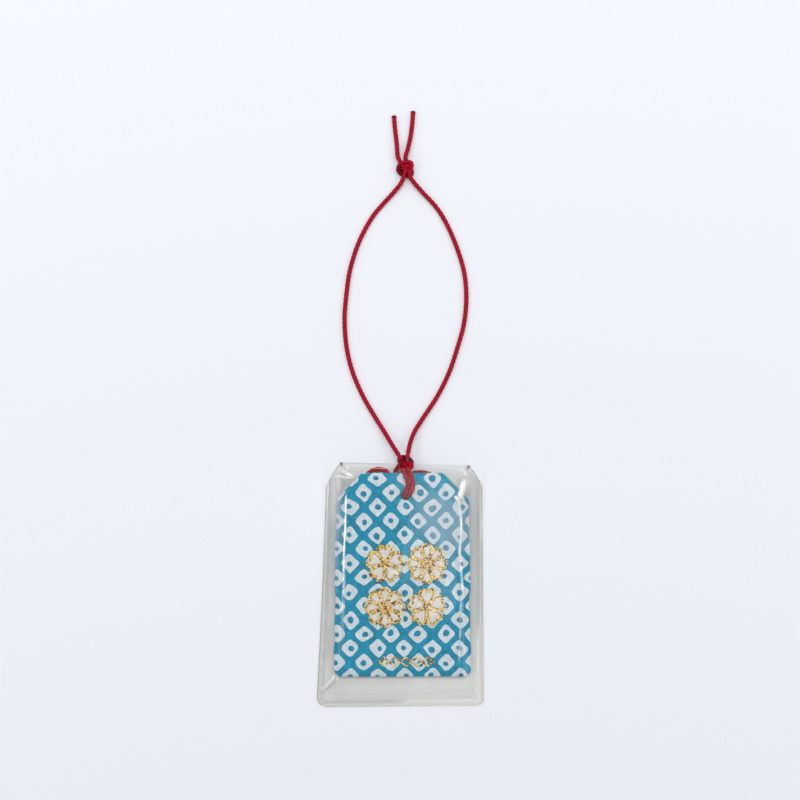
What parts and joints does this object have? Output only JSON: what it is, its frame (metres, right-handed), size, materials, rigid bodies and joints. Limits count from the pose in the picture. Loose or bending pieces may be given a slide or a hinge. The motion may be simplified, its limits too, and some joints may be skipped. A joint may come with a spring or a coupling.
{
  "type": "omamori charm",
  "caption": "Flat brocade pouch with flower embroidery and a knotted hanging cord, kept in a clear soft sleeve that it slides out of.",
  "frame": {"origin": "on the surface that the charm lies on, under the middle of the clear sleeve", "axes": "+X across the pouch to the viewer's right, +Y up the pouch towards the hanging loop, +Z off the surface"},
  "size_m": [0.0532, 0.1904, 0.0087],
  "materials": {
    "clear_film": "clear soft plastic film, glossy, faintly warm grey",
    "brocade": "woven brocade, teal blue ground with off-white dappled lozenges",
    "white_satin": "white satin stitch embroidery",
    "gold_thread": "twisted metallic gold thread, couched down",
    "crimson_cord": "crimson braided round cord with a slight sheen",
    "slip_wood": "plain pale wood",
    "wrapping_paper": "plain white paper",
    "card": "plain stiff card"
  },
  "bodies": {
    "sleeve": {"sleeve_back_film": "clear_film", "sleeve_front_film": "clear_film"},
    "charm": {"pouch_front_panel": "brocade", "pouch_back_panel": "brocade", "wooden_slip": "slip_wood", "slip_wrapper": "wrapping_paper", "stiffener_card_front": "card", "stiffener_card_back": "card", "satin_fill_upper_left": "white_satin", "satin_fill_upper_right": "white_satin", "satin_fill_lower_left": "white_satin", "satin_fill_lower_right": "white_satin", "gold_outline_upper_left": "gold_thread", "gold_outline_upper_right": "gold_thread", "gold_outline_lower_left": "gold_thread", "gold_outline_lower_right": "gold_thread", "gold_stitch_row": "gold_thread", "rear_knot_core": "crimson_cord", "rear_ear_left_outer": "crimson_cord", "rear_ear_left_inner": "crimson_cord", "rear_ear_right_outer": "crimson_cord", "rear_ear_right_inner": "crimson_cord", "front_strap_left": "crimson_cord", "front_strap_right": "crimson_cord", "rear_strand_left": "crimson_cord", "rear_strand_right": "crimson_cord"},
    "knot": {"base_knot": "crimson_cord"},
    "loop": {"loop_strand_left": "crimson_cord", "loop_strand_right": "crimson_cord", "top_knot": "crimson_cord", "cord_end_left": "crimson_cord", "cord_end_right": "crimson_cord"}
  },
  "joints": [
    {"name": "charm_slide", "type": "slide", "parent": "sleeve", "child": "charm", "axis": [0, 1, 0], "range_m": [0, 0.07]},
    {"name": "loop_sway", "type": "hinge", "parent": "charm", "child": "knot", "pos_m": [0.0018, 0.0393, 0.004], "axis": [0, 0, 1], "range_deg": [-15, 15]},
    {"name": "loop_fold", "type": "hinge", "parent": "knot", "child": "loop", "pos_m": [0.0018, 0.0393, 0.004], "axis": [1, 0, 0], "range_deg": [0, 90]}
  ]
}
